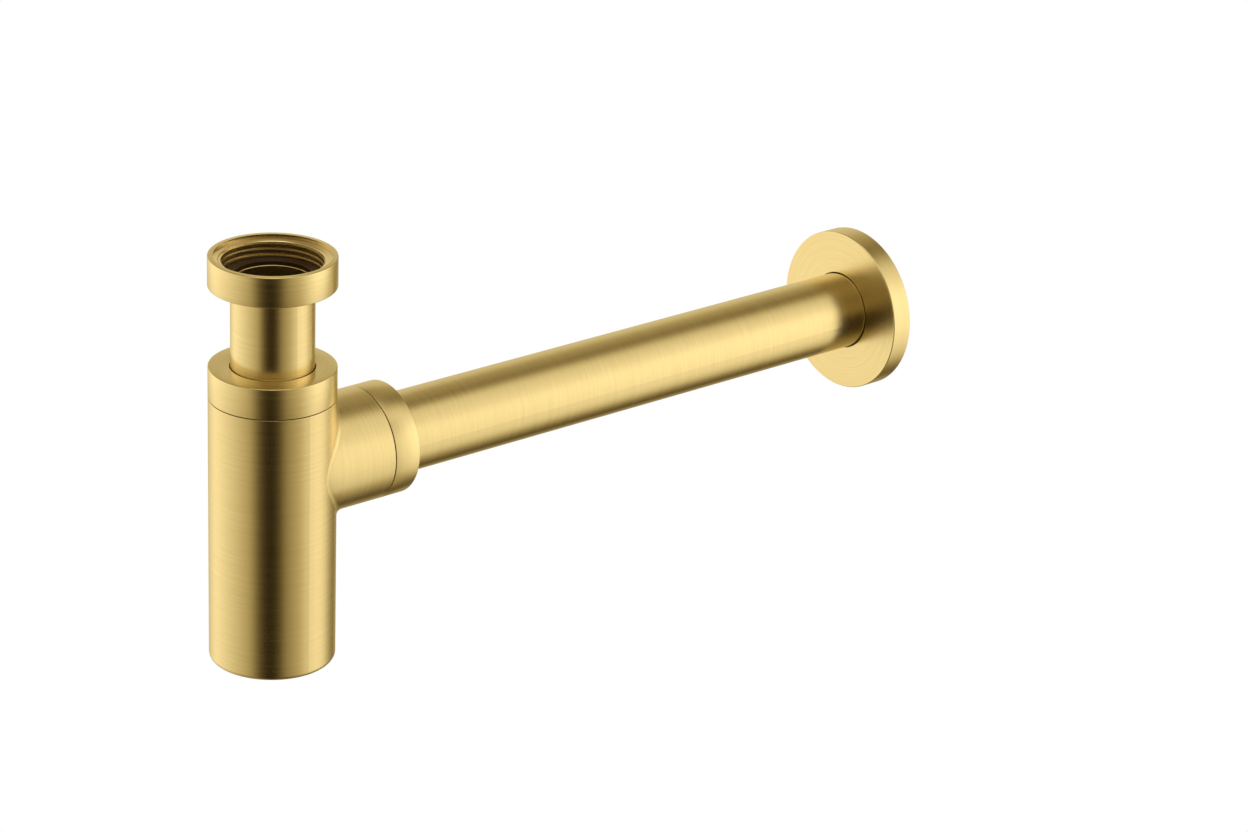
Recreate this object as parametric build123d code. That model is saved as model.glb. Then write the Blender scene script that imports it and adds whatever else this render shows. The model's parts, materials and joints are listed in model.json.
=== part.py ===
"""Bottle trap for a wash basin, in brushed brass.

Millimetres. The origin is on the inlet axis, at the top of the inlet washer,
where the tail of the basin waste seats. +Z is up along the inlet, and +Y runs
along the outlet towards the wall.
"""

import os

from build123d import *

# Tubes
TUBE_RADIUS = 16.0
TUBE_WALL = 1.5
TUBE_END_CHAMFER = 0.5

# Inlet nut, washer and collar
NUT_HEIGHT = 12.0
NUT_LIP = 1.2
NUT_TAP_RADIUS = 19.476
NUT_RELIEF_DEPTH = 1.5
NUT_MOUTH_FLARE = 2.924
NUT_RIM = 2.1
NUT_MOUTH_STEP = 1.1
NUT_MOUTH_DEPTH = 1.7
COLLAR_THICKNESS = 1.1
WASHER_THICKNESS = 1.6
WASHER_LIP = 0.5
WASHER_GROOVE_DEPTH = 0.4
WASHER_RIBS = 3

# Cap nut
CAP_DROP = 36.4
CAP_HEIGHT = 12.3
CAP_CEILING = 2.4
CAP_WALL = 3.2

# Bottle
BODY_WALL = 2.0
BODY_SHOULDER = 3.0
BODY_FLOOR = 2.5
BODY_FOOT_FILLET = 2.0
OUTLET_DROP = 29.5
SUMP_DEPTH = 79.1
WATER_SEAL = 50.0

# Side branch and outlet nut
BRANCH_REACH = 42.0
BRANCH_WALL = 2.5
BRANCH_SOCKET_LENGTH = 10.0
BRANCH_FILLET = 3.0
OUTLET_NUT_LENGTH = 11.3
OUTLET_NUT_CEILING = 2.2
OUTLET_NUT_WALL = 2.6

# Compression seals, their necks and slip rings
RING_THICKNESS = 1.2
SEAL_HEAD = 1.0
SEAL_TIP_WALL = 0.8
INLET_SEAL_WALL = 3.1
INLET_SEAL_TAPER = 5.0
INLET_NECK_WALL = 1.8
OUTLET_SEAL_WALL = 2.2
OUTLET_SEAL_TAPER = 4.5
OUTLET_NECK_WALL = 1.3

# Outlet pipe and wall flange
WALL_DISTANCE = 302.7
PIPE_INSERTION = 11.9
PIPE_STUB = 11.0
FLANGE_RADIUS = 34.0
FLANGE_DEPTH = 9.2
FLANGE_PLATE = 2.0
FLANGE_SKIRT = 2.0
HUB_WALL = 4.2
HUB_INSET = 1.0
O_RING_SECTION = 2.4

# Clearances and edges
SLIDE_GAP = 0.3
SEAL_GAP = 0.1
TURN_GAP = 0.1
THREAD_GAP = 0.3
SOCKET_GAP = 0.5
SEAM = 0.3
SEAM_EDGE = 0.15
EDGE = 0.4
INNER_EDGE = 0.3
SAME_PLACE = 0.001

# Worked out from the sizes above
TUBE_BORE = TUBE_RADIUS - TUBE_WALL
TUBE_HOLE = TUBE_RADIUS + SLIDE_GAP
SEAL_BORE = TUBE_RADIUS + SEAL_GAP
SOCKET_RADIUS = TUBE_RADIUS + SOCKET_GAP
INLET_SEAL_RADIUS = SEAL_BORE + INLET_SEAL_WALL
CAP_TAP_RADIUS = INLET_SEAL_RADIUS + INLET_NECK_WALL + THREAD_GAP
BODY_RADIUS = CAP_TAP_RADIUS + CAP_WALL
BODY_BORE = BODY_RADIUS - BODY_WALL
OUTLET_SEAL_RADIUS = SEAL_BORE + OUTLET_SEAL_WALL
OUTLET_TAP_RADIUS = OUTLET_SEAL_RADIUS + OUTLET_NECK_WALL + THREAD_GAP
BRANCH_RADIUS = OUTLET_TAP_RADIUS + OUTLET_NUT_WALL
BRANCH_CHAMBER_RADIUS = BRANCH_RADIUS - BRANCH_WALL
NUT_MOUTH_RADIUS = NUT_TAP_RADIUS + NUT_MOUTH_FLARE
NUT_RADIUS = NUT_MOUTH_RADIUS + NUT_RIM
COLLAR_RADIUS = NUT_TAP_RADIUS - SLIDE_GAP
COLLAR_TOP = -WASHER_THICKNESS
COLLAR_BOTTOM = COLLAR_TOP - COLLAR_THICKNESS
NUT_LIP_TOP = COLLAR_BOTTOM - TURN_GAP
NUT_BOTTOM = NUT_LIP_TOP - NUT_LIP
NUT_TOP = NUT_BOTTOM + NUT_HEIGHT
CAP_TOP = -CAP_DROP
CAP_BOTTOM = CAP_TOP - CAP_HEIGHT
BODY_TOP = CAP_BOTTOM - SEAM
OUTLET_HEIGHT = BODY_TOP - OUTLET_DROP
BODY_BOTTOM = OUTLET_HEIGHT - SUMP_DEPTH
TUBE_END = OUTLET_HEIGHT - TUBE_BORE - WATER_SEAL
OUTLET_NUT_START = BRANCH_REACH + SEAM
OUTLET_NUT_END = OUTLET_NUT_START + OUTLET_NUT_LENGTH
FLANGE_FRONT = WALL_DISTANCE - FLANGE_DEPTH
PIPE_START = BRANCH_REACH - PIPE_INSERTION
PIPE_END = WALL_DISTANCE + PIPE_STUB

# Local Z of the outlet pieces runs along the outlet axis, from the inlet axis to the wall
OUTLET_AXIS = Location((0, 0, OUTLET_HEIGHT), (-90, 0, 0))


def turned(*points):
    """Solid of revolution about Z from a closed outline of (radius, height) points."""
    outline = make_face(Polyline(*points, close=True))
    return revolve(Plane.XZ * outline, Axis.Z)


def round_edges(solid, radius, heights, size):
    """Round the circular edges of one radius at the given heights."""
    chosen = [
        edge
        for edge in solid.edges().filter_by(GeomType.CIRCLE)
        if abs(edge.radius - radius) < SAME_PLACE
        and any(abs(edge.arc_center.Z - height) < SAME_PLACE for height in heights)
    ]
    return fillet(chosen, size)


def inlet_nut():
    """Union nut: lip under the tube's collar, relief, tapping bore, and flared mouth below a thin rim."""
    relief = NUT_TAP_RADIUS + NUT_RELIEF_DEPTH
    nut = turned(
        (TUBE_HOLE, NUT_BOTTOM),
        (NUT_RADIUS, NUT_BOTTOM),
        (NUT_RADIUS, NUT_TOP),
        (NUT_MOUTH_RADIUS, NUT_TOP),
        (NUT_MOUTH_RADIUS, NUT_TOP - NUT_MOUTH_STEP),
        (NUT_TAP_RADIUS, NUT_TOP - NUT_MOUTH_DEPTH),
        (NUT_TAP_RADIUS, 0),
        (relief, 0),
        (relief, NUT_LIP_TOP),
        (TUBE_HOLE, NUT_LIP_TOP),
    )
    return round_edges(nut, NUT_RADIUS, (NUT_BOTTOM, NUT_TOP), EDGE)


def inlet_washer():
    """Rubber washer on the collar, with concentric sealing ribs on its upper face."""
    inner = TUBE_BORE + WASHER_LIP
    washer = turned(
        (inner, COLLAR_TOP),
        (COLLAR_RADIUS, COLLAR_TOP),
        (COLLAR_RADIUS, 0),
        (inner, 0),
    )
    groove_floor = -WASHER_GROOVE_DEPTH
    step = (COLLAR_RADIUS - inner) / (2 * WASHER_RIBS - 1)
    for rib in range(WASHER_RIBS - 1):
        start = inner + step * (2 * rib + 1)
        washer -= turned(
            (start, 0),
            (start, groove_floor),
            (start + step, groove_floor),
            (start + step, 0),
        )
    return washer


def inlet_tube():
    """Dip tube, with the turned collar that the nut pulls up against the waste."""
    tube = turned(
        (TUBE_BORE, TUBE_END),
        (TUBE_RADIUS, TUBE_END),
        (TUBE_RADIUS, COLLAR_BOTTOM),
        (COLLAR_RADIUS, COLLAR_BOTTOM),
        (COLLAR_RADIUS, COLLAR_TOP),
        (TUBE_BORE, COLLAR_TOP),
    )
    tube = round_edges(tube, TUBE_BORE, (COLLAR_TOP,), INNER_EDGE)
    foot = tube.edges().group_by(Axis.Z)[0]
    return chamfer(foot, TUBE_END_CHAMFER)


def compression_nut(radius, ceiling, tap_radius, low, high):
    """Cup-shaped nut with its ceiling at the high end and a hole for the tube."""
    under = high - ceiling
    nut = turned(
        (TUBE_HOLE, under),
        (tap_radius, under),
        (tap_radius, low),
        (radius, low),
        (radius, high),
        (TUBE_HOLE, high),
    )
    nut = round_edges(nut, radius, (low,), SEAM_EDGE)
    nut = round_edges(nut, radius, (high,), EDGE)
    return round_edges(nut, TUBE_HOLE, (high,), INNER_EDGE)


def slip_ring(tap_radius, under):
    """Flat ring between a nut's ceiling and its seal, so that the seal isn't twisted."""
    top = under - TURN_GAP
    outer = tap_radius - THREAD_GAP
    return turned(
        (TUBE_HOLE, top - RING_THICKNESS),
        (outer, top - RING_THICKNESS),
        (outer, top),
        (TUBE_HOLE, top),
    )


def seal_levels(under, taper):
    """Top, start of the taper and tip of the seal below a nut's ceiling."""
    top = under - TURN_GAP - RING_THICKNESS - TURN_GAP
    return top, top - SEAL_HEAD, top - SEAL_HEAD - taper


def cone_seal(radius, under, taper):
    """Tapered rubber ring, squeezed between the tube and a coned seat."""
    top, shoulder, tip = seal_levels(under, taper)
    return turned(
        (SEAL_BORE, tip),
        (SEAL_BORE + SEAL_TIP_WALL, tip),
        (radius, shoulder),
        (radius, top),
        (SEAL_BORE, top),
    )


def seat_cut(radius, under, taper, floor):
    """Space in a threaded neck: coned seat for the seal, then the bore that guides the tube."""
    top, shoulder, tip = seal_levels(under, taper)
    slope = (radius - SEAL_BORE - SEAL_TIP_WALL) / taper
    mouth = radius + SEAL_GAP + slope * (top - shoulder)
    tip_radius = SEAL_BORE + SEAL_TIP_WALL + SEAL_GAP
    return turned(
        (0, floor),
        (SOCKET_RADIUS, floor),
        (SOCKET_RADIUS, tip - SEAL_GAP),
        (tip_radius, tip - SEAL_GAP),
        (tip_radius, tip),
        (mouth, top),
        (0, top),
    )


def neck(tap_radius, low, under, taper):
    """Blank of a threaded neck, from the shoulder to just below the head of its seal."""
    radius = tap_radius - THREAD_GAP
    rim = seal_levels(under, taper)[1] - SEAL_GAP
    return turned((0, low), (radius, low), (radius, rim - EDGE), (radius - EDGE, rim), (0, rim))


def trap_body():
    """Bottle with a threaded neck above and a threaded side branch, polished as one piece."""
    cap_under = CAP_TOP - CAP_CEILING
    nut_under = OUTLET_NUT_END - OUTLET_NUT_CEILING
    bottle = turned((0, BODY_BOTTOM), (BODY_RADIUS, BODY_BOTTOM), (BODY_RADIUS, BODY_TOP), (0, BODY_TOP))
    branch = turned((0, 0), (BRANCH_RADIUS, 0), (BRANCH_RADIUS, BRANCH_REACH), (0, BRANCH_REACH))
    branch = round_edges(branch, BRANCH_RADIUS, (BRANCH_REACH,), SEAM_EDGE)
    bottle = round_edges(bottle, BODY_RADIUS, (BODY_TOP,), SEAM_EDGE)
    bottle = round_edges(bottle, BODY_RADIUS, (BODY_BOTTOM,), BODY_FOOT_FILLET)
    shell = bottle + OUTLET_AXIS * branch
    saddle = shell.edges().filter_by(lambda edge: edge.geom_type not in (GeomType.CIRCLE, GeomType.LINE))
    shell = fillet(saddle, BRANCH_FILLET)
    shell += neck(CAP_TAP_RADIUS, BODY_TOP, cap_under, INLET_SEAL_TAPER)
    shell += OUTLET_AXIS * neck(OUTLET_TAP_RADIUS, BRANCH_REACH, nut_under, OUTLET_SEAL_TAPER)

    cavity_top = BODY_TOP - BODY_SHOULDER
    cavity_bottom = BODY_BOTTOM + BODY_FLOOR
    cavity = turned((0, cavity_bottom), (BODY_BORE, cavity_bottom), (BODY_BORE, cavity_top), (0, cavity_top))
    cavity = round_edges(cavity, BODY_BORE, (cavity_bottom,), BODY_FOOT_FILLET)
    nut_seal_tip = seal_levels(nut_under, OUTLET_SEAL_TAPER)[2]
    chamber_end = nut_seal_tip - BRANCH_SOCKET_LENGTH
    chamber = turned(
        (0, 0),
        (BRANCH_CHAMBER_RADIUS, 0),
        (BRANCH_CHAMBER_RADIUS, chamber_end),
        (0, chamber_end),
    )
    shell -= cavity
    shell -= seat_cut(INLET_SEAL_RADIUS, cap_under, INLET_SEAL_TAPER, cavity_top)
    shell -= OUTLET_AXIS * chamber
    shell -= OUTLET_AXIS * seat_cut(OUTLET_SEAL_RADIUS, nut_under, OUTLET_SEAL_TAPER, chamber_end)
    return shell


def outlet_pipe():
    """Plain pipe from inside the branch to just behind the wall's face."""
    pipe = turned(
        (TUBE_BORE, PIPE_START),
        (TUBE_RADIUS, PIPE_START),
        (TUBE_RADIUS, PIPE_END),
        (TUBE_BORE, PIPE_END),
    )
    ends = pipe.edges().group_by(Axis.Z)
    return chamfer(ends[0] + ends[-1], TUBE_END_CHAMFER)


def o_ring_middle():
    """Place of the gripping ring along the hub of the flange."""
    return (FLANGE_FRONT + FLANGE_PLATE + WALL_DISTANCE - HUB_INSET) / 2


def wall_flange():
    """Dished cover plate: flat face, rim against the wall, and a grooved hub on the pipe."""
    back = FLANGE_FRONT + FLANGE_PLATE
    hub_end = WALL_DISTANCE - HUB_INSET
    hub_radius = TUBE_HOLE + HUB_WALL
    skirt = FLANGE_RADIUS - FLANGE_SKIRT
    flange = turned(
        (TUBE_HOLE, FLANGE_FRONT),
        (FLANGE_RADIUS, FLANGE_FRONT),
        (FLANGE_RADIUS, WALL_DISTANCE),
        (skirt, WALL_DISTANCE),
        (skirt, back),
        (hub_radius, back),
        (hub_radius, hub_end),
        (TUBE_HOLE, hub_end),
    )
    half = O_RING_SECTION / 2 + SEAL_GAP
    middle = o_ring_middle()
    groove = SEAL_BORE + O_RING_SECTION + SEAL_GAP
    flange -= turned(
        (TUBE_RADIUS, middle - half),
        (groove, middle - half),
        (groove, middle + half),
        (TUBE_RADIUS, middle + half),
    )
    flange = round_edges(flange, FLANGE_RADIUS, (FLANGE_FRONT, WALL_DISTANCE), EDGE)
    return round_edges(flange, TUBE_HOLE, (FLANGE_FRONT,), INNER_EDGE)


def flange_o_ring():
    """Round rubber ring that holds the flange on the pipe."""
    ring = Torus(SEAL_BORE + O_RING_SECTION / 2, O_RING_SECTION / 2)
    return Location((0, 0, o_ring_middle())) * ring


def build():
    """Every piece by name, in its place."""
    cap_under = CAP_TOP - CAP_CEILING
    nut_under = OUTLET_NUT_END - OUTLET_NUT_CEILING
    return {
        "inlet_nut": inlet_nut(),
        "inlet_washer": inlet_washer(),
        "inlet_tube": inlet_tube(),
        "cap_nut": compression_nut(BODY_RADIUS, CAP_CEILING, CAP_TAP_RADIUS, CAP_BOTTOM, CAP_TOP),
        "cap_slip_ring": slip_ring(CAP_TAP_RADIUS, cap_under),
        "inlet_cone_seal": cone_seal(INLET_SEAL_RADIUS, cap_under, INLET_SEAL_TAPER),
        "trap_body": trap_body(),
        "outlet_nut": OUTLET_AXIS
        * compression_nut(
            BRANCH_RADIUS, OUTLET_NUT_CEILING, OUTLET_TAP_RADIUS, OUTLET_NUT_START, OUTLET_NUT_END
        ),
        "outlet_slip_ring": OUTLET_AXIS * slip_ring(OUTLET_TAP_RADIUS, nut_under),
        "outlet_cone_seal": OUTLET_AXIS * cone_seal(OUTLET_SEAL_RADIUS, nut_under, OUTLET_SEAL_TAPER),
        "outlet_pipe": OUTLET_AXIS * outlet_pipe(),
        "wall_flange": OUTLET_AXIS * wall_flange(),
        "flange_o_ring": OUTLET_AXIS * flange_o_ring(),
    }


os.makedirs("parts", exist_ok=True)
for name, solid in build().items():
    export_step(solid, f"parts/{name}.step")
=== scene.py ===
import json
import math

import bpy
from mathutils import Matrix, Vector


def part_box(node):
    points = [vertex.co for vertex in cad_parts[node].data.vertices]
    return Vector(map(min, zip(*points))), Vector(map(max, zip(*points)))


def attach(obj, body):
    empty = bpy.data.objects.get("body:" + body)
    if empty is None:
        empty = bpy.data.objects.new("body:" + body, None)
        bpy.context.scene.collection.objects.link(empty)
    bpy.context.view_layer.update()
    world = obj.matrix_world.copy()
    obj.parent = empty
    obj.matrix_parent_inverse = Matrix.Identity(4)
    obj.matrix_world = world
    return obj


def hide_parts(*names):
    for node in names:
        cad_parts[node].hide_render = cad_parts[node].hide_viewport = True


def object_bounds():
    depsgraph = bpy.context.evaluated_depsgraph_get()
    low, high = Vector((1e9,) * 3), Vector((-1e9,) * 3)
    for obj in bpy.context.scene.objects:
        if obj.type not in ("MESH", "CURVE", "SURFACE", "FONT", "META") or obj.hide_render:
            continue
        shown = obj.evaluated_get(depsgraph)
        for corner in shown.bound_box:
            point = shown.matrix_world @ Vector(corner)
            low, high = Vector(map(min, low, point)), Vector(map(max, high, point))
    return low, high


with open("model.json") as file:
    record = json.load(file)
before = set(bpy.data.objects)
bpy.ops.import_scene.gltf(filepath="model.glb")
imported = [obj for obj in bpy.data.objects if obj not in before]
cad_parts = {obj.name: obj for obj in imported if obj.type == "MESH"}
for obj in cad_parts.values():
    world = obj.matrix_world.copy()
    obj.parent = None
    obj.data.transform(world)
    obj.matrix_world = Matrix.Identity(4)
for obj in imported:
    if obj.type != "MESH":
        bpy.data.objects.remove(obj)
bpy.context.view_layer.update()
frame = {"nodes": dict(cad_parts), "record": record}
nodes = frame["nodes"]
mounts = {mount["name"]: mount for mount in frame["record"]["mounts"]}

# Sizes in metres, beside those that the CAD boxes give
MM = 0.001
EDGE = 0.4 * MM
SEAM = 0.3 * MM
SEAM_EDGE = 0.15 * MM
HOLE_EDGE = 0.75 * EDGE
TUBE_HOLE = 16.3 * MM
NUT_TAP_RADIUS = mounts["inlet"]["dims"]["r_mm"] * MM
NUT_MOUTH_RADIUS = 22.4 * MM
NUT_MOUTH_STEP = 1.1 * MM
NUT_MOUTH_DEPTH = 1.7 * MM
NUT_LIP_ROUND = 1.6 * MM
NUT_RELIEF = 1.5 * MM
NUT_LIP = 1.2 * MM
WASHER_BORE = 15.0 * MM
WASHER_GROOVE = 0.4 * MM
WASHER_RIBS = 3
WASHER_STEPS = 60
CAP_CEILING = 2.4 * MM
CAP_TAP_RADIUS = 21.3 * MM
OUTLET_NUT_CEILING = 2.2 * MM
OUTLET_TAP_RADIUS = 19.9 * MM
NECK_CLEARANCE = 0.3 * MM
NECK_SKIN = 0.3 * MM
THREAD_LEAD = 0.8 * MM

# Threads: pitch and depth
INLET_THREAD = (2.309 * MM, 0.9 * MM)
CAP_THREAD = (2.0 * MM, 1.1 * MM)
OUTLET_THREAD = (1.5 * MM, 0.9 * MM)

# Threads: a larger crest value gives wider flat crests and narrower grooves
CREST = 0.20
INLET_CREST = 0.52
INLET_THREAD_START = 1.27 * MM

# Fineness of the turned meshes
TURN_STEPS = 192
EDGE_STEPS = 4
THREAD_ROW = 0.10 * MM
FINE_ROW = 0.035 * MM
SHARP_ANGLE = math.radians(32)

# Places along the two axes
BODY_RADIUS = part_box("cap_nut")[1].x
BODY_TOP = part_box("cap_nut")[0].z - SEAM
PIPE_LOW, PIPE_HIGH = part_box("outlet_pipe")
OUTLET_HEIGHT = (PIPE_LOW.z + PIPE_HIGH.z) / 2
BRANCH_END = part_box("outlet_nut")[0].y - SEAM
OUTLET_AXIS = Matrix.Translation((0, 0, OUTLET_HEIGHT)) @ Matrix.Rotation(math.radians(-90), 4, "X")
INLET_AXIS = Matrix.Identity(4)


# Turned meshes


def arc(centre, radius, start, end):
    """Points (radius, height) of a small round edge, from one angle to another in degrees."""
    points = []
    for step in range(EDGE_STEPS + 1):
        angle = math.radians(start + (end - start) * step / EDGE_STEPS)
        points.append((centre[0] + radius * math.cos(angle), centre[1] + radius * math.sin(angle)))
    return points


def groove(height, turn, pitch, crest=CREST):
    """Depth of a right-hand thread with flat crests, from 0 at its crest to 1 at its root."""
    wave = -math.cos(2 * math.pi * (height / pitch - turn))
    return ramp((wave - crest) / (1 - crest))


def ramp(value):
    """Smooth step from 0 to 1."""
    value = min(max(value, 0.0), 1.0)
    return value * value * (3 - 2 * value)


def blend(first, second, width):
    """Larger of two lengths, with the corner between them rounded over a width."""
    near = max(width - abs(first - second), 0.0)
    return max(first, second) + near * near / (4 * width)


def turned_mesh(name, rows, axis):
    """Closed mesh turned about an axis, from rows of (radius, height).

    A radius is a length, or a function that gives it for a share of the turn.
    """
    vertices = []
    for radius, height in rows:
        for step in range(TURN_STEPS):
            turn = step / TURN_STEPS
            reach = radius(turn) if callable(radius) else radius
            angle = 2 * math.pi * turn
            vertices.append(axis @ Vector((reach * math.cos(angle), reach * math.sin(angle), height)))
    faces = []
    count = len(rows)
    for row in range(count):
        low = row * TURN_STEPS
        high = (row + 1) % count * TURN_STEPS
        for step in range(TURN_STEPS):
            after = (step + 1) % TURN_STEPS
            faces.append((low + step, low + after, high + after, high + step))
    mesh = bpy.data.meshes.new(name)
    mesh.from_pydata(vertices, [], faces)
    mesh.shade_smooth()
    mesh.set_sharp_from_angle(angle=SHARP_ANGLE)
    piece = bpy.data.objects.new(name, mesh)
    bpy.context.scene.collection.objects.link(piece)
    return piece


def thread_heights(low, high, row=THREAD_ROW):
    """Heights of the rows of a threaded wall."""
    count = max(2, round((high - low) / row))
    return [low + (high - low) * step / count for step in range(count + 1)]


def inlet_nut():
    """Union nut with its pipe thread and its stepped, flared mouth."""
    low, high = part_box("inlet_nut")
    outer = high.x
    bottom, top = low.z, high.z
    lip_top = bottom + NUT_LIP
    relief = NUT_TAP_RADIUS + NUT_RELIEF
    pitch, depth = INLET_THREAD
    flare_top = top - NUT_MOUTH_STEP
    flare = (NUT_MOUTH_RADIUS - NUT_TAP_RADIUS) / (NUT_MOUTH_DEPTH - NUT_MOUTH_STEP)

    def bore(height):
        cone = NUT_MOUTH_RADIUS - flare * (flare_top - height)
        start = height - INLET_THREAD_START

        def wall(turn):
            thread = depth * groove(start, turn, pitch, INLET_CREST)
            return blend(NUT_TAP_RADIUS + thread, cone, NUT_LIP_ROUND)

        return wall

    rows = [(TUBE_HOLE, bottom)]
    rows += arc((outer - EDGE, bottom + EDGE), EDGE, -90, 0)
    rows += arc((outer - EDGE, top - EDGE), EDGE, 0, 90)
    rows += [(NUT_MOUTH_RADIUS, top)]
    heights = thread_heights(0, flare_top, FINE_ROW)
    rows += [(bore(height), height) for height in reversed(heights)]
    rows += [(relief, 0), (relief, lip_top), (TUBE_HOLE, lip_top)]
    return turned_mesh("inlet_nut_threaded", rows, INLET_AXIS)


def inlet_washer():
    """Rubber washer with rounded sealing ribs on its upper face."""
    low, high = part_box("inlet_washer")
    inner, outer = WASHER_BORE, high.x
    rows = [(inner, low.z), (outer, low.z)]
    waves = WASHER_RIBS - 0.5
    for step in range(WASHER_STEPS + 1):
        share = step / WASHER_STEPS
        dip = 0.5 - 0.5 * math.cos(2 * math.pi * waves * share - math.pi / 2)
        rows.append((outer + (inner - outer) * share, high.z - WASHER_GROOVE * dip))
    return turned_mesh("inlet_washer_ribbed", rows, INLET_AXIS)


def compression_nut(name, outer, low, high, ceiling, tap_radius, thread, axis):
    """Cup-shaped nut with a ceiling at its high end and a thread in its wall."""
    under = high - ceiling
    pitch, depth = thread

    def bore(height):
        lead = tap_radius + depth - (height - low)
        fade = ramp((under - height) / pitch)
        return lambda turn: max(tap_radius + depth * fade * groove(height, turn, pitch), lead)

    rows = [(TUBE_HOLE, under), (tap_radius, under)]
    rows += [(bore(height), height) for height in reversed(thread_heights(low, under - THREAD_ROW))]
    rows += arc((outer - SEAM_EDGE, low + SEAM_EDGE), SEAM_EDGE, -90, 0)
    rows += arc((outer - EDGE, high - EDGE), EDGE, 0, 90)
    rows += arc((TUBE_HOLE + HOLE_EDGE, high - HOLE_EDGE), HOLE_EDGE, 90, 180)
    return turned_mesh(name, rows, axis)


def neck_thread(name, low, high, tap_radius, thread, axis):
    """Thread on a neck of the body: a sleeve that lies just in the neck and stands out as ridges."""
    root = tap_radius - NECK_CLEARANCE
    inside = root - NECK_SKIN
    pitch, depth = thread

    def ridge(height):
        fade = ramp((high - height) / THREAD_LEAD) * ramp((height - low) / THREAD_LEAD)
        return lambda turn: root + depth * fade * groove(height, turn, pitch)

    rows = [(inside, low)]
    rows += [(ridge(height), height) for height in thread_heights(low, high)]
    rows += [(inside, high)]
    return turned_mesh(name, rows, axis)


# Materials


class Nodes:
    """Short way to add and join shader nodes of one tree."""

    def __init__(self, tree):
        self.tree = tree

    def add(self, kind, **settings):
        node = self.tree.nodes.new(kind)
        for key, value in settings.items():
            setattr(node, key, value)
        return node

    def link(self, source, target):
        self.tree.links.new(source, target)

    def feed(self, socket, value):
        if isinstance(value, bpy.types.NodeSocket):
            self.link(value, socket)
        else:
            socket.default_value = value

    def math(self, operation, first, second=0.0):
        node = self.add("ShaderNodeMath", operation=operation)
        self.feed(node.inputs[0], first)
        self.feed(node.inputs[1], second)
        return node.outputs[0]

    def length(self, first, second):
        first_square = self.math("MULTIPLY", first, first)
        second_square = self.math("MULTIPLY", second, second)
        return self.math("SQRT", self.math("ADD", first_square, second_square))

    def vector(self, x, y, z):
        node = self.add("ShaderNodeCombineXYZ")
        for socket, value in zip(node.inputs, (x, y, z)):
            self.feed(socket, value)
        return node.outputs[0]

    def mix(self, factor, first, second):
        node = self.add("ShaderNodeMix", data_type="FLOAT")
        for socket, value in zip(node.inputs[:1] + node.inputs[2:4], (factor, first, second)):
            self.feed(socket, value)
        return node.outputs[0]

    def scale(self, value, low, high, start=0.0, end=1.0):
        node = self.add("ShaderNodeMapRange")
        self.feed(node.inputs["Value"], value)
        node.inputs["From Min"].default_value = start
        node.inputs["From Max"].default_value = end
        node.inputs["To Min"].default_value = low
        node.inputs["To Max"].default_value = high
        return node.outputs["Result"]

    def ramp(self, value, stops):
        node = self.add("ShaderNodeValToRGB")
        elements = node.color_ramp.elements
        while len(elements) < len(stops):
            elements.new(0.5)
        for element, (position, colour) in zip(elements, stops):
            element.position = position
            element.color = (*colour, 1.0)
        self.feed(node.inputs["Fac"], value)
        return node.outputs["Color"]


def new_material(name):
    """Empty material with its nodes, its main shader and its object coordinates."""
    material = bpy.data.materials.new(name)
    material.use_nodes = True
    tree = material.node_tree
    graph = Nodes(tree)
    shader = tree.nodes["Principled BSDF"]
    coordinates = graph.add("ShaderNodeTexCoord").outputs["Object"]
    parts = graph.add("ShaderNodeSeparateXYZ")
    graph.link(coordinates, parts.inputs[0])
    return material, graph, shader, parts.outputs


# Share of a noise texture at which a finish is at its darkest and at its lightest
DARK_AT = 0.3
LIGHT_AT = 0.7

# Brushed brass
BRASS_DARK = (0.757, 0.653, 0.405)
BRASS_LIGHT = (0.848, 0.734, 0.466)
BRASS_ROUGHNESS = (0.20, 0.30)
BRASS_ANISOTROPY = 0.55
LINES_PER_METRE = 3500.0
BANDS_PER_METRE = 1100.0
LINE_RUN = 1.6
BAND_RUN = 0.8
LINE_DETAIL = 3.0
BAND_DETAIL = 2.0
LINE_UNEVENNESS = 0.6
LINE_SHARE = 0.4
BAND_SHARE = 0.6
LINE_DEPTH = 0.006 * MM
LINE_STRENGTH = 0.5

# Foot of the branch: where the lines turn, and where the sheen is softer
SADDLE_START = BODY_RADIUS + 0.2 * MM
SADDLE_END = BODY_RADIUS + 4.0 * MM
SOFT_ROUGHNESS = 0.11
SOFT_FULL = BODY_RADIUS + 0.05 * MM
SOFT_FADE = BODY_RADIUS + 0.3 * MM
SOFT_END = BODY_RADIUS + 1.2 * MM

# Brass as a cutting tool leaves it, in the threads and on the step in the nut's mouth; on the step its
# colours are darker, as painted shade in that recess
CUT_DARK = (0.87, 0.75, 0.50)
CUT_LIGHT = (0.94, 0.82, 0.57)
# Painted shade: darker colours for the wall of the step in the nut's mouth, standing in for the shade there
STEP_SHADE_DARK = (0.50, 0.40, 0.22)
STEP_SHADE_LIGHT = (0.62, 0.50, 0.29)
CUT_ROUGHNESS = (0.18, 0.26)
CUT_GRAIN_PER_METRE = 1500.0
CUT_DETAIL = 3.0


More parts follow.
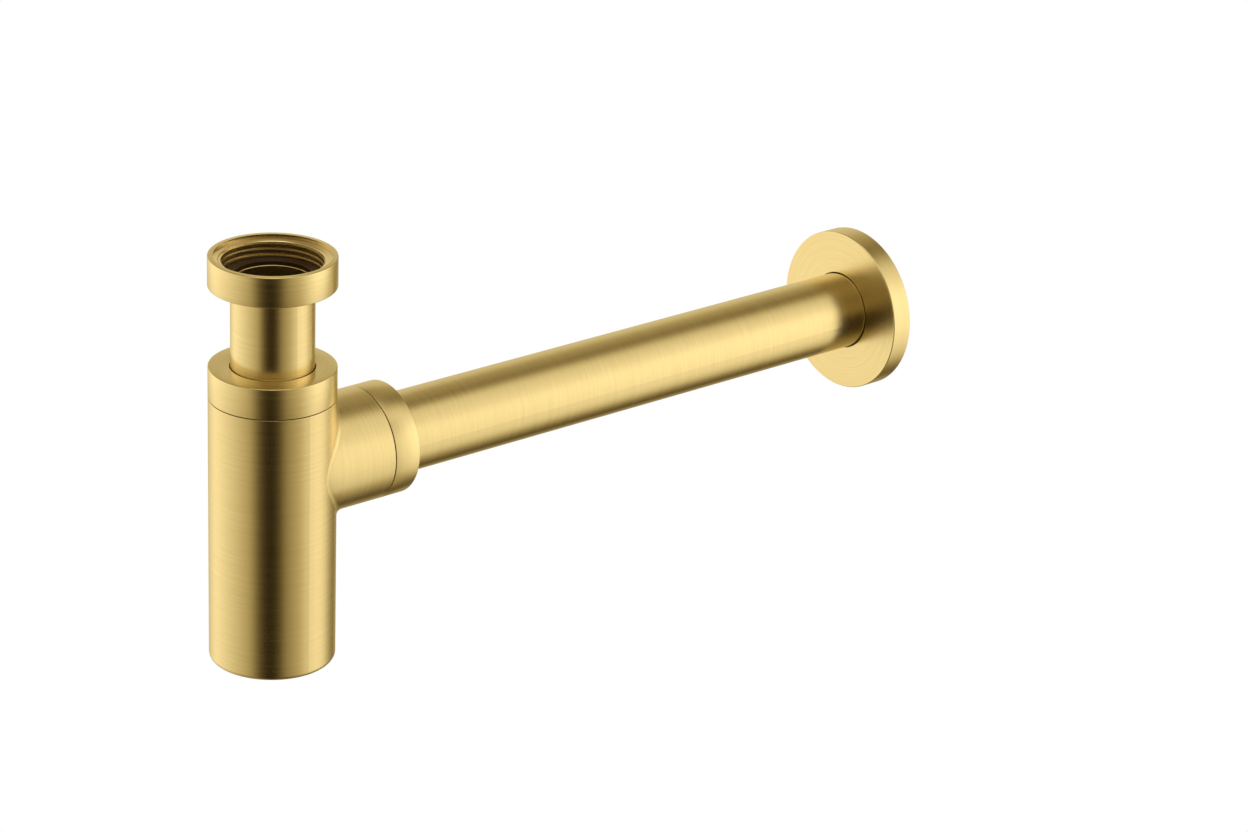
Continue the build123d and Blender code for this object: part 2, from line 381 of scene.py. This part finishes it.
def brushed_brass(name, kind):
    """Brass with fine lines turned round an axis.

    The kind is inlet or outlet, or body, with lines round the inlet axis on the bottle and round the outlet
    axis on the branch.
    """
    material, graph, shader, (x, y, z) = new_material(name)
    drop = graph.math("SUBTRACT", z, OUTLET_HEIGHT)
    if kind == "inlet":
        across, up, along = x, y, z
    elif kind == "outlet":
        across, up, along = x, drop, y
    else:
        reach = graph.length(x, y)
        on_branch = graph.math("GREATER_THAN", reach, SADDLE_START)
        turned = graph.scale(reach, 0.0, 1.0, SADDLE_START, SADDLE_END)
        across = x
        up = graph.mix(on_branch, y, drop)
        along = graph.mix(on_branch, z, y)
    radius = graph.length(across, up)
    cosine = graph.math("DIVIDE", across, radius)
    sine = graph.math("DIVIDE", up, radius)

    def lines(per_metre, run, detail):
        noise = graph.add("ShaderNodeTexNoise", noise_dimensions="4D")
        noise.inputs["Scale"].default_value = 1.0
        noise.inputs["Detail"].default_value = detail
        noise.inputs["Roughness"].default_value = LINE_UNEVENNESS
        spot = graph.vector(
            graph.math("MULTIPLY", radius, per_metre),
            graph.math("MULTIPLY", cosine, run),
            graph.math("MULTIPLY", sine, run),
        )
        graph.link(spot, noise.inputs["Vector"])
        graph.link(graph.math("MULTIPLY", along, per_metre), noise.inputs["W"])
        return noise.outputs["Fac"]

    fine = lines(LINES_PER_METRE, LINE_RUN, LINE_DETAIL)
    broad = lines(BANDS_PER_METRE, BAND_RUN, BAND_DETAIL)
    fine_part = graph.math("MULTIPLY", fine, LINE_SHARE)
    broad_part = graph.math("MULTIPLY", broad, BAND_SHARE)
    tone = graph.math("ADD", fine_part, broad_part)
    colour = graph.ramp(tone, [(DARK_AT, BRASS_DARK), (LIGHT_AT, BRASS_LIGHT)])
    graph.link(colour, shader.inputs["Base Color"])
    roughness = graph.scale(tone, *BRASS_ROUGHNESS)
    if kind == "body":
        rise = graph.scale(reach, 0.0, SOFT_ROUGHNESS, BODY_RADIUS, SOFT_FULL)
        fall = graph.scale(reach, 1.0, 0.0, SOFT_FADE, SOFT_END)
        roughness = graph.math("ADD", roughness, graph.math("MULTIPLY", rise, fall))
    graph.link(roughness, shader.inputs["Roughness"])
    shader.inputs["Metallic"].default_value = 1.0
    shader.inputs["Anisotropic"].default_value = BRASS_ANISOTROPY
    if kind == "inlet":
        tangent = graph.vector(graph.math("MULTIPLY", sine, -1.0), cosine, 0.0)
    elif kind == "outlet":
        tangent = graph.vector(sine, 0.0, graph.math("MULTIPLY", cosine, -1.0))
    else:
        round_body = graph.math("MULTIPLY", graph.math("DIVIDE", y, reach), -1.0)
        tangent = graph.vector(
            graph.mix(turned, round_body, sine),
            graph.mix(turned, graph.math("DIVIDE", x, reach), 0.0),
            graph.mix(turned, 0.0, graph.math("MULTIPLY", cosine, -1.0)),
        )
    graph.link(tangent, shader.inputs["Tangent"])
    bump = graph.add("ShaderNodeBump")
    bump.inputs["Strength"].default_value = LINE_STRENGTH
    bump.inputs["Distance"].default_value = LINE_DEPTH
    graph.link(fine, bump.inputs["Height"])
    graph.link(bump.outputs["Normal"], shader.inputs["Normal"])
    return material


def cut_brass(name, dark, light):
    """Brass as a cutting tool leaves it, smoother than the brushed faces; with darker colours it is painted
    shade.
    """
    material, graph, shader, (x, y, z) = new_material(name)
    noise = graph.add("ShaderNodeTexNoise")
    noise.inputs["Scale"].default_value = CUT_GRAIN_PER_METRE
    noise.inputs["Detail"].default_value = CUT_DETAIL
    graph.link(graph.vector(x, y, z), noise.inputs["Vector"])
    grain = noise.outputs["Fac"]
    graph.link(graph.ramp(grain, [(DARK_AT, dark), (LIGHT_AT, light)]), shader.inputs["Base Color"])
    graph.link(graph.scale(grain, *CUT_ROUGHNESS), shader.inputs["Roughness"])
    shader.inputs["Metallic"].default_value = 1.0
    return material


# Moulded rubber and plastic
RUBBER_DARK = (0.020, 0.017, 0.014)
RUBBER_LIGHT = (0.050, 0.043, 0.036)
RUBBER_ROUGHNESS = (0.30, 0.42)
RUBBER_GRAIN_PER_METRE = 900.0
WASHER_DARK = (0.032, 0.015, 0.006)
WASHER_LIGHT = (0.056, 0.028, 0.011)
WASHER_ROUGHNESS = (0.34, 0.48)
WASHER_GLOSS = 0.2
PLASTIC_DARK = (0.74, 0.73, 0.70)
PLASTIC_LIGHT = (0.84, 0.83, 0.80)
PLASTIC_ROUGHNESS = (0.40, 0.55)
PLASTIC_GRAIN_PER_METRE = 500.0
COMMON_GLOSS = 0.5
MOULDED_DETAIL = 4.0
MOULDED_STRENGTH = 0.3
MOULDED_DEPTH = 0.02 * MM


def moulded(name, dark, light, roughness, grain_per_metre, gloss=COMMON_GLOSS):
    """Moulded rubber or plastic with a fine mottled grain."""
    material, graph, shader, (x, y, z) = new_material(name)
    noise = graph.add("ShaderNodeTexNoise")
    noise.inputs["Scale"].default_value = grain_per_metre
    noise.inputs["Detail"].default_value = MOULDED_DETAIL
    graph.link(graph.vector(x, y, z), noise.inputs["Vector"])
    grain = noise.outputs["Fac"]
    graph.link(graph.ramp(grain, [(DARK_AT, dark), (LIGHT_AT, light)]), shader.inputs["Base Color"])
    graph.link(graph.scale(grain, *roughness), shader.inputs["Roughness"])
    shader.inputs["Specular IOR Level"].default_value = gloss
    bump = graph.add("ShaderNodeBump")
    bump.inputs["Strength"].default_value = MOULDED_STRENGTH
    bump.inputs["Distance"].default_value = MOULDED_DEPTH
    graph.link(grain, bump.inputs["Height"])
    graph.link(bump.outputs["Normal"], shader.inputs["Normal"])
    return material


def dress(piece, material):
    """Give a piece its one material."""
    piece.data.materials.clear()
    piece.data.materials.append(material)


# Pieces
brass = {kind: brushed_brass(f"brushed_brass_{kind}", kind) for kind in ("inlet", "outlet", "body")}
cut = cut_brass("cut_brass", CUT_DARK, CUT_LIGHT)
# Painted shade: a darker copy of the cut brass for the wall of the step in the nut's mouth
step_shade = cut_brass("painted_shade_brass", STEP_SHADE_DARK, STEP_SHADE_LIGHT)
rubber = moulded("black_rubber", RUBBER_DARK, RUBBER_LIGHT, RUBBER_ROUGHNESS, RUBBER_GRAIN_PER_METRE)
washer_rubber = moulded(
    "brown_rubber", WASHER_DARK, WASHER_LIGHT, WASHER_ROUGHNESS, RUBBER_GRAIN_PER_METRE, WASHER_GLOSS
)
plastic = moulded("white_plastic", PLASTIC_DARK, PLASTIC_LIGHT, PLASTIC_ROUGHNESS, PLASTIC_GRAIN_PER_METRE)

FINISHES = {
    "inlet_tube": brass["inlet"],
    "inlet_nut": brass["inlet"],
    "cap_nut": brass["inlet"],
    "trap_body": brass["body"],
    "outlet_nut": brass["outlet"],
    "outlet_pipe": brass["outlet"],
    "wall_flange": brass["outlet"],
    "inlet_washer": washer_rubber,
    "inlet_cone_seal": rubber,
    "outlet_cone_seal": rubber,
    "flange_o_ring": rubber,
    "cap_slip_ring": plastic,
    "outlet_slip_ring": plastic,
}
for node, material in FINISHES.items():
    dress(nodes[node], material)


def place(piece, body, material, replaced=None):
    """Finish a piece of the scene and tie it to the body that it moves with."""
    dress(piece, material)
    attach(piece, body)
    if replaced:
        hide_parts(replaced)


# Order of the inlet nut's added materials (cut thread, painted shade), and how far a face may lie past the
# mouth's radius
THREAD_FINISH = 1
STEP_SHADE_INDEX = 2
MOUTH_TOLERANCE = 0.01 * MM


def finish_bore(nut, thread_material, step_shade_material):
    """Give the threaded wall inside the inlet nut its cut finish, and the step in its mouth painted shade.
    """
    nut.data.materials.append(thread_material)
    nut.data.materials.append(step_shade_material)
    step_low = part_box("inlet_nut")[1].z - NUT_MOUTH_STEP
    for face in nut.data.polygons:
        reach = face.center.xy.length
        # Painted shade: the wall of the step in the mouth gets the darker material
        if step_low < face.center.z and reach < NUT_MOUTH_RADIUS + MOUTH_TOLERANCE:
            face.material_index = STEP_SHADE_INDEX
        elif face.center.z > 0 and reach < NUT_MOUTH_RADIUS:
            face.material_index = THREAD_FINISH


cap_low, cap_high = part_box("cap_nut")
nut_low, nut_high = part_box("outlet_nut")
body_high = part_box("trap_body")[1]
threaded_nut = inlet_nut()
place(threaded_nut, "inlet_nut", brass["inlet"], "inlet_nut")
# The step in the mouth gets painted shade
finish_bore(threaded_nut, cut, step_shade)
place(inlet_washer(), "inlet", washer_rubber, "inlet_washer")
place(
    compression_nut(
        "cap_nut_threaded",
        BODY_RADIUS,
        cap_low.z,
        cap_high.z,
        CAP_CEILING,
        CAP_TAP_RADIUS,
        CAP_THREAD,
        INLET_AXIS,
    ),
    "cap",
    brass["inlet"],
    "cap_nut",
)
place(
    compression_nut(
        "outlet_nut_threaded",
        nut_high.x,
        nut_low.y,
        nut_high.y,
        OUTLET_NUT_CEILING,
        OUTLET_TAP_RADIUS,
        OUTLET_THREAD,
        OUTLET_AXIS,
    ),
    "outlet_nut",
    brass["outlet"],
    "outlet_nut",
)
place(
    neck_thread("neck_thread", BODY_TOP, body_high.z - EDGE, CAP_TAP_RADIUS, CAP_THREAD, INLET_AXIS),
    "trap",
    cut,
)
place(
    neck_thread(
        "branch_thread",
        BRANCH_END,
        body_high.y - EDGE,
        OUTLET_TAP_RADIUS,
        OUTLET_THREAD,
        OUTLET_AXIS,
    ),
    "trap",
    cut,
)


# Camera: the photograph's viewing angle, worked out from the edges of the round pieces
CAMERA_AZIMUTH = math.radians(49.505)
CAMERA_ELEVATION = math.radians(22.809)
CAMERA_ROLL = math.radians(2.267)
CAMERA_DISTANCE = 1542.1 * MM
CAMERA_LENS = 112.57
CAMERA_SENSOR = 36.0
CAMERA_REACH = 20.0
TARGET_OUT = 0.100
TARGET_DROP = 0.070
CAMERA_TARGET = Vector((0, TARGET_OUT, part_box("inlet_nut")[1].z - TARGET_DROP))
CAMERA_RIGHT = 56.51 * MM
CAMERA_DOWN = 17.76 * MM

horizontal = Vector((math.cos(CAMERA_AZIMUTH), math.sin(CAMERA_AZIMUTH), 0))
towards_camera = Vector(
    (
        math.sin(CAMERA_AZIMUTH) * math.cos(CAMERA_ELEVATION),
        -math.cos(CAMERA_AZIMUTH) * math.cos(CAMERA_ELEVATION),
        math.sin(CAMERA_ELEVATION),
    )
)
vertical = towards_camera.cross(horizontal)
right = math.cos(CAMERA_ROLL) * horizontal + math.sin(CAMERA_ROLL) * vertical
up = math.cos(CAMERA_ROLL) * vertical - math.sin(CAMERA_ROLL) * horizontal


def add_camera():
    """Camera with the photograph's lens, at its place."""
    data = bpy.data.cameras.new("camera")
    data.sensor_fit = "HORIZONTAL"
    data.sensor_width = CAMERA_SENSOR
    data.lens = CAMERA_LENS
    data.clip_end = CAMERA_REACH
    camera = bpy.data.objects.new("camera", data)
    bpy.context.scene.collection.objects.link(camera)
    target = CAMERA_TARGET + CAMERA_RIGHT * right - CAMERA_DOWN * up
    turn = Matrix((right, up, towards_camera)).transposed().to_4x4()
    camera.matrix_world = Matrix.Translation(target + CAMERA_DISTANCE * towards_camera) @ turn
    bpy.context.scene.camera = camera


# Studio light as (degrees, level): wide and soft on both sides, dark in front, and a light almost overhead
SIDE_LIGHT = [
    (-180, 0.51),
    (-152, 0.58),
    (-118, 1.00),
    (-97, 0.87),
    (-63, 0.63),
    (-48, 0.51),
    (-34, 0.41),
    (-20, 0.09),
    (-8, 0.01),
    (6, 0.00),
    (18, 0.03),
    (30, 0.26),
    (56, 0.44),
    (88, 0.94),
    (108, 0.86),
    (134, 0.24),
    (143, 0.23),
    (150, 0.08),
    (158, 0.36),
    (180, 0.51),
]
RIGHT_HEIGHT = [
    (-90, 0.25),
    (-52, 0.27),
    (-45, 0.53),
    (-30, 0.72),
    (-12, 0.93),
    (3, 1.00),
    (18, 0.98),
    (33, 0.69),
    (45, 0.58),
    (53, 0.62),
    (70, 0.30),
    (90, 0.12),
]
LEFT_HEIGHT = [
    (-90, 0.25),
    (-52, 0.42),
    (-30, 0.71),
    (-12, 0.86),
    (0, 0.80),
    (24, 0.72),
    (38, 0.26),
    (50, 0.22),
    (90, 0.12),
]
TOP_LIGHT = [(20, 0.85), (29, 0.20), (45, 0.11), (61, 0.18), (70, 0.20), (84, 0.04), (90, 0.00)]
TOP_LIGHT_HEIGHT = math.radians(82)
TOP_LIGHT_TURN = math.radians(8)
LIGHT_TINT = [
    (0.000, (0.000, 0.000, 0.000)),
    (0.027, (0.027, 0.017, 0.004)),
    (0.060, (0.059, 0.040, 0.016)),
    (0.190, (0.186, 0.142, 0.060)),
    (0.367, (0.360, 0.301, 0.158)),
    (0.600, (0.589, 0.518, 0.344)),
    (1.000, (0.982, 0.864, 0.577)),
]
LIGHT_STRENGTH = 1.765
SIDE_BLEND = 0.3
BACKDROP = (1.0, 1.0, 1.0, 1.0)


def add_studio():
    """World light by direction. The camera sees the plain white backdrop instead."""
    world = bpy.data.worlds.new("studio")
    bpy.context.scene.world = world
    world.use_nodes = True
    tree = world.node_tree
    tree.nodes.clear()
    graph = Nodes(tree)
    ray = graph.add("ShaderNodeTexCoord").outputs["Generated"]

    def along(direction):
        node = graph.add("ShaderNodeVectorMath", operation="DOT_PRODUCT")
        graph.link(ray, node.inputs[0])
        node.inputs[1].default_value = direction
        return node.outputs["Value"]

    def levels(value, stops):
        return graph.ramp(value, [(position, (level, level, level)) for position, level in stops])

    facing = Vector((math.sin(CAMERA_AZIMUTH), -math.cos(CAMERA_AZIMUTH), 0))
    overhead = math.cos(TOP_LIGHT_TURN) * facing + math.sin(TOP_LIGHT_TURN) * horizontal
    overhead = overhead * math.cos(TOP_LIGHT_HEIGHT) + Vector((0, 0, math.sin(TOP_LIGHT_HEIGHT)))
    azimuth = graph.math("ARCTAN2", along(horizontal), along(facing))
    side = levels(
        graph.scale(azimuth, 0.0, 1.0, -math.pi, math.pi),
        [(0.5 + degrees / 360, level) for degrees, level in SIDE_LIGHT],
    )
    rise = graph.scale(along((0, 0, 1)), 0.0, 1.0, -1.0, 1.0)
    left, right_side = [
        levels(rise, [(0.5 + 0.5 * math.sin(math.radians(degrees)), level) for degrees, level in stops])
        for stops in (LEFT_HEIGHT, RIGHT_HEIGHT)
    ]
    height = graph.mix(graph.scale(along(horizontal), 0.0, 1.0, -SIDE_BLEND, SIDE_BLEND), left, right_side)
    top = levels(
        graph.math("MAXIMUM", along(overhead), 0.0),
        [(math.cos(math.radians(degrees)), level) for degrees, level in reversed(TOP_LIGHT)],
    )
    light = graph.math("MAXIMUM", graph.math("MULTIPLY", side, height), top)
    background = graph.add("ShaderNodeBackground")
    background.inputs["Strength"].default_value = LIGHT_STRENGTH
    graph.link(graph.ramp(light, LIGHT_TINT), background.inputs["Color"])
    backdrop = graph.add("ShaderNodeBackground")
    backdrop.inputs["Color"].default_value = BACKDROP
    shown = graph.add("ShaderNodeMixShader")
    graph.link(graph.add("ShaderNodeLightPath").outputs["Is Camera Ray"], shown.inputs["Fac"])
    graph.link(background.outputs[0], shown.inputs[1])
    graph.link(backdrop.outputs[0], shown.inputs[2])
    graph.link(shown.outputs[0], graph.add("ShaderNodeOutputWorld").inputs["Surface"])


# Floor: how far it lies below the trap, and its width
FLOOR_DROP = 0.40
FLOOR_SIZE = 30.0


def add_floor():
    """Plain white floor well below the trap, which hangs from its basin."""
    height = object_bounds()[0][2] - FLOOR_DROP
    half = FLOOR_SIZE / 2
    mesh = bpy.data.meshes.new("floor")
    corners = [(-half, -half, height), (half, -half, height), (half, half, height), (-half, half, height)]
    mesh.from_pydata(corners, [], [(0, 1, 2, 3)])
    floor = bpy.data.objects.new("floor", mesh)
    bpy.context.scene.collection.objects.link(floor)
    material, _, shader, _ = new_material("pale_floor")
    shader.inputs["Base Color"].default_value = (0.0, 0.0, 0.0, 1.0)
    shader.inputs["Specular IOR Level"].default_value = 0.0
    shader.inputs["Emission Color"].default_value = BACKDROP
    shader.inputs["Emission Strength"].default_value = 1.0
    dress(floor, material)
    floor.visible_glossy = False
    floor.visible_diffuse = False


add_camera()
add_studio()
add_floor()
bpy.context.scene.view_settings.view_transform = "Standard"
